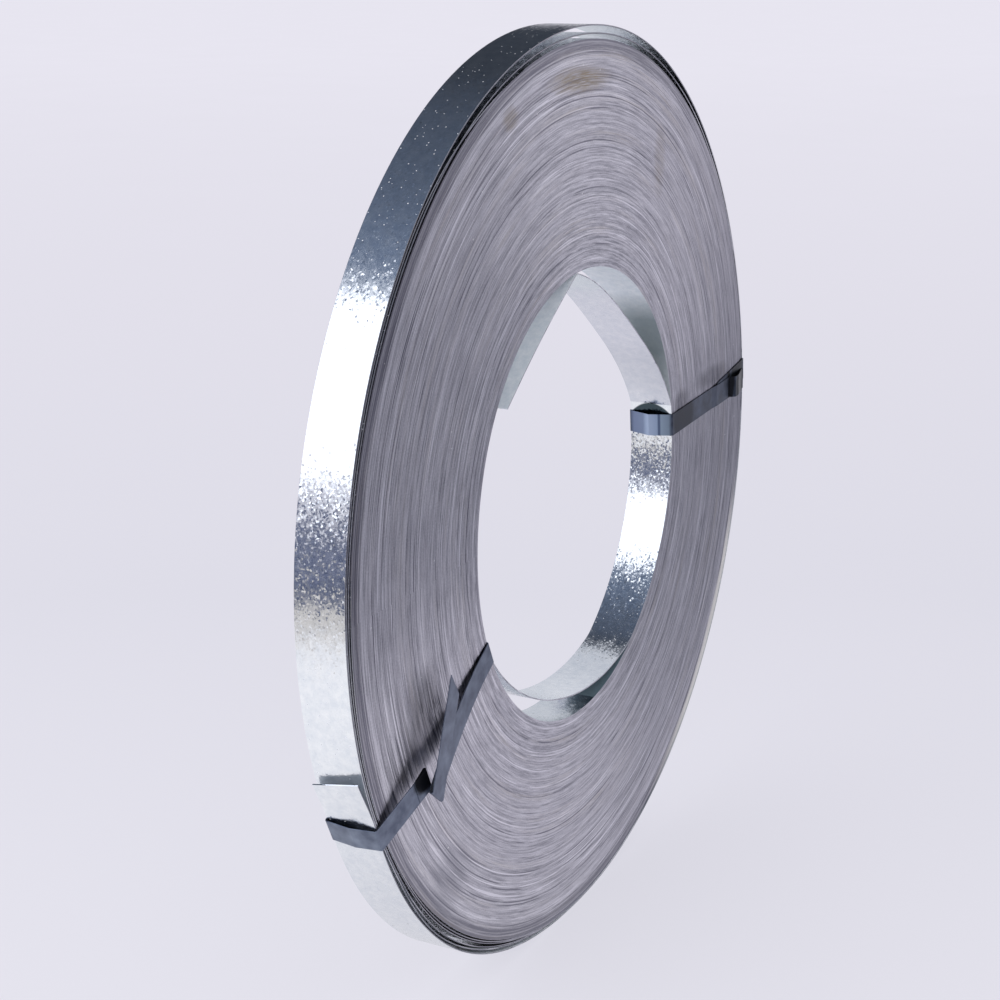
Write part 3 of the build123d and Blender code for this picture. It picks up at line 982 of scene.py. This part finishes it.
@dataclass
class BindingStraps:
    """The two straps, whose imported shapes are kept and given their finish."""

    axis: Vector
    finishes: dict[str, BluedStrapping] = field(default_factory=lambda: {
        "binding_strap_lower": BluedStrapping(), "binding_strap_upper": TIGHT_STRAPPING})

    def dress(self) -> list[Object]:
        """Gives each strap its finish.

        Returns:
            The straps.
        """
        pieces = []
        for name, finish in self.finishes.items():
            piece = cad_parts[name]
            piece.data.materials.clear()
            piece.data.materials.append(finish.material(self.axis))
            pieces.append(piece)
        return pieces


def way(azimuth: float, elevation: float = 0.0) -> Vector:
    """The direction at an azimuth, round from +X towards +Y, and an elevation."""
    turn, up = math.radians(azimuth), math.radians(elevation)
    return Vector((math.cos(up) * math.cos(turn), math.cos(up) * math.sin(turn), math.sin(up)))


def add_sheet(name: str, corners: list[Vector], finish: Material) -> Object:
    """Makes one flat sheet of the studio.

    Args:
        name: its name.
        corners: its four corners.
        finish: its finish.

    Returns:
        The sheet.
    """
    mesh = bpy.data.meshes.new(name)
    mesh.from_pydata(corners, [], [(0, 1, 2, 3)])
    mesh.materials.append(finish)
    piece = new_object(name, mesh)
    return piece


@dataclass(frozen=True)
class Card:
    """A glowing card that faces the coil, seen only in the metal's mirror. Its mottle is given by its scale and
    by where the noise turns from dark to light, and its foot by the heights that it fades between."""

    name: str
    finish: str
    dark: str
    light: str
    foot: str
    mottle: tuple[float, ...]
    foot_from: Span
    azimuth: float
    distance: float
    half_width: float
    heights: Span

    def stand(self, axis: Vector) -> None:
        """Stands the card up.

        Args:
            axis: a point on the coil's axis.
        """
        made, tree = new_finish(self.finish)
        place = Place(tree, add(tree, "ShaderNodeTexCoord").outputs["Object"])
        size, *patches = self.mottle
        cloud = Number(tree, add(tree, "ShaderNodeTexNoise", {"Vector": place, "Scale": size}))
        cloth = Colour(tree, self.dark).under((cloud.part(*patches), self.light)).socket
        colour = Colour(tree, self.foot).under((place.parts()[2].part(*self.foot_from), cloth))
        glow = add(tree, "ShaderNodeEmission", {"Color": colour, "Strength": 1.0})
        add(tree, "ShaderNodeOutputMaterial", {"Surface": glow})
        middle = axis.xy.to_3d() + way(self.azimuth) * self.distance
        side = way(self.azimuth + 90.0) * self.half_width
        low, high = (Vector((0.0, 0.0, height)) for height in self.heights)
        corners = [middle - side + low, middle + side + low, middle + side + high, middle - side + high]
        piece = add_sheet(self.name, corners, made)
        piece.visible_camera = piece.visible_diffuse = piece.visible_shadow = False


@dataclass
class Studio:
    """Pale paper underfoot, a dim high ceiling, one tall soft box, two cards, and the photograph's own
    viewpoint."""

    axis: Vector
    paper: str = "E2E0E9"
    paper_ahead: Tints = ((0.2, "E5E4ED"), (0.32, "DDDCE6"), (0.47, "E2E0EA"), (0.76, "EAE8F2"))
    paper_half_way: float = 4.0
    paper_reach: float = 60.0
    paper_matt: float = 0.22
    lit_paper: tuple[float, ...] = (1.02, 1.02, 1.04, 1.0)
    far_paper: str = "C8C3BE"
    even_light: str = "F4F4F9"
    backdrop: str = "EBE9F3"
    near_wall: str = "EEEEF5"
    near_ceiling: str = "333943"
    far_ceiling: str = "6F7E97"
    room: str = "8C8F9A"
    lane_side: Span = (0.342, 0.94)
    front_lean: float = 0.55
    box_azimuth: float = 143.0
    box_elevation: float = 28.0
    box_distance: float = 3.0
    box_size: Span = (4.2, 1.95)
    box_radiance: float = 1.6
    cards: tuple[Card, ...] = (
        Card("dark_card", "unlit_card", dark="3A4763", light="A9AECB", foot="EAE4DC", mottle=(20.0, 0.48, 0.66),
             foot_from=(0.055, 0.075), azimuth=150.0, distance=1.1, half_width=1.3, heights=(0.0, 0.36)),
        Card("pale_card", "pale_card", dark="CCD0D8", light="E2E4EA", foot="CCD0D8", mottle=(14.0, 0.35, 0.65),
             foot_from=(-1.0, 0.0), azimuth=28.0, distance=0.45, half_width=0.22, heights=(0.02, 0.62)))
    lens_mm: float = 68.9
    camera_from_axis: Vector = field(default_factory=lambda: Vector((-1.1024, -0.5238, 0.3394)))
    camera_forward: Vector = field(default_factory=lambda: Vector((0.8545, 0.4424, -0.2719)))

    def rays(self, tree: NodeTree) -> tuple[Number, Number]:
        """Adds the nodes that tell the rays apart.

        Args:
            tree: the tree that they go into.

        Returns:
            One for the rays that see a thing as it looks, and one for those of them that a gloss mirrors.
        """
        ray = add(tree, "ShaderNodeLightPath").outputs
        camera, glossy, through = (Number(tree, ray[f"Is {name} Ray"]) for name in ("Camera", "Glossy", "Transmission"))
        return camera.do("MAXIMUM", glossy).do("MAXIMUM", through), glossy

    def floor(self) -> None:
        """Lays the paper, which brightens into the distance and under the soft box."""
        made, tree = new_finish("matt_studio_paper")
        place = Place(tree, add(tree, "ShaderNodeTexCoord").outputs["Object"])
        x, y, _ = place.parts()
        ahead = self.camera_forward.to_2d().normalized()
        start = (self.axis + self.camera_from_axis).to_2d().dot(ahead)
        away = x * ahead.x + y * ahead.y - start
        distance = add(tree, "ShaderNodeValToRGB", {"Fac": away / (away + self.paper_half_way)})
        ramp_between(distance, self.paper_ahead)
        tooth = Number(tree, add(tree, "ShaderNodeTexNoise", {"Vector": place, "Scale": 2.5}))
        shown = Colour(tree, distance).under((tooth.part(0.3, 0.7, 0.0, 0.12), self.paper))

        # What the metal mirrors: a pool of light under the soft box, the beige paper far off, painted shade on the
        # paper right under the coil, a band of painted shade that reaches away from the bore, and the paper's end in
        # front
        toward = way(self.box_azimuth)
        pool = x * toward.x + y * toward.y
        foot = y.do("ABSOLUTE").part(0.18, 0.05, 0.0, 0.2)
        off_lane = (x * self.lane_side[0] + y * self.lane_side[1]).do("ABSOLUTE")
        shade_lane = off_lane.part(0.5, 0.1, 0.0, 0.88) * x.part(0.2, 0.7) * x.part(2.2, 1.6)
        front = (y * -1 - x * self.front_lean).part(0.3, 0.8).do("MAXIMUM", shade_lane)
        mirrored = Colour(tree, self.paper).under(
            (pool.part(-0.1, 0.35), self.lit_paper), (pool.part(0.8, 1.1), self.far_paper), (foot, self.room),
            (front, self.room))
        direct, glossy = self.rays(tree)
        seen = shown.under((glossy, mirrored.socket))
        matt, plain = (add(tree, "ShaderNodeBsdfDiffuse", {"Color": colour}) for colour in (seen, shown))
        glow = add(tree, "ShaderNodeEmission", {"Color": seen, "Strength": 1.0})
        faint = add(tree, "ShaderNodeMixShader", {0: self.paper_matt, 1: glow, 2: matt})
        shader = add(tree, "ShaderNodeMixShader", {0: direct, 1: plain, 2: faint})
        add(tree, "ShaderNodeOutputMaterial", {"Surface": shader})
        corners = [Vector((x, y, 0.0)) * self.paper_reach for x, y in ((-1, -1), (1, -1), (1, 1), (-1, 1))]
        add_sheet("studio_paper", corners, made)

    def world(self) -> None:
        """Lights the room evenly, with a pale backdrop low down and a dim ceiling that only gloss shows."""
        world = bpy.data.worlds.new("studio_room")
        bpy.context.scene.world = world
        world.use_nodes = True
        tree = world.node_tree
        tree.nodes.clear()
        x, y, z = Place(tree, add(tree, "ShaderNodeTexCoord").outputs["Generated"]).parts()
        toward_far = x.part(0.55, -0.4) * z.part(0.80, 0.92, 1.0, 0.5)
        front = (y * -1 - x * self.front_lean).part(-0.15, 0.5)
        near = Colour(tree, self.near_wall).under((front, self.room)).socket
        room = Colour(tree, self.near_ceiling).under((toward_far, self.far_ceiling), (y.part(0.15, -0.25), near))
        mirrored = Colour(tree, self.paper).under((z.part(0.07, 0.21), room.socket))
        direct, glossy = self.rays(tree)
        backdrop = Colour(tree, self.backdrop).under((glossy, mirrored.socket))
        colour = Colour(tree, self.even_light).under((direct, backdrop.socket))
        light = add(tree, "ShaderNodeBackground", {"Color": colour, "Strength": 1.0})
        add(tree, "ShaderNodeOutputWorld", {"Surface": light})

    def soft_box(self) -> None:
        """Hangs the soft box facing the coil. Its radiance is how bright it looks, where white paper is one."""
        light = bpy.data.lights.new("soft_box", "AREA")
        light.shape = "RECTANGLE"
        width, height = self.box_size
        light.size, light.size_y = width, height
        light.energy = self.box_radiance * math.pi * width * height
        piece = new_object("soft_box", light)
        toward = way(self.box_azimuth, self.box_elevation)
        piece.location = self.axis + toward * self.box_distance
        piece.rotation_euler = toward.to_track_quat("Z", "Y").to_euler()

    def camera(self) -> None:
        """Sets up the photograph's viewpoint."""
        data = bpy.data.cameras.new("viewpoint")
        data.lens = self.lens_mm
        data.sensor_width = 36.0
        data.clip_start, data.clip_end = 0.01, 200.0
        piece = new_object("viewpoint", data)
        piece.location = self.axis + self.camera_from_axis
        piece.rotation_euler = self.camera_forward.to_track_quat("-Z", "Y").to_euler()
        bpy.context.scene.camera = piece

    def build(self) -> None:
        """Puts the whole studio up."""
        self.floor()
        self.world()
        self.soft_box()
        for card in self.cards:
            card.stand(self.axis)
        self.camera()
        bpy.context.scene.view_settings.view_transform = "Standard"


def main() -> None:
    """Builds the coil, dresses its straps and sets up the studio."""
    logging.basicConfig(level=logging.INFO, format="%(message)s")
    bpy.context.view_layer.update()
    sizes = CoilSizes()
    axis = sizes.axis()
    Studio(axis).build()
    for piece in SteelCoil(sizes, axis).build():
        LOG.info("%s: %d faces", piece.name, len(piece.data.polygons))
    for piece in BindingStraps(axis).dress():
        LOG.info("%s: dressed", piece.name)


if __name__ == "__main__":
    main()
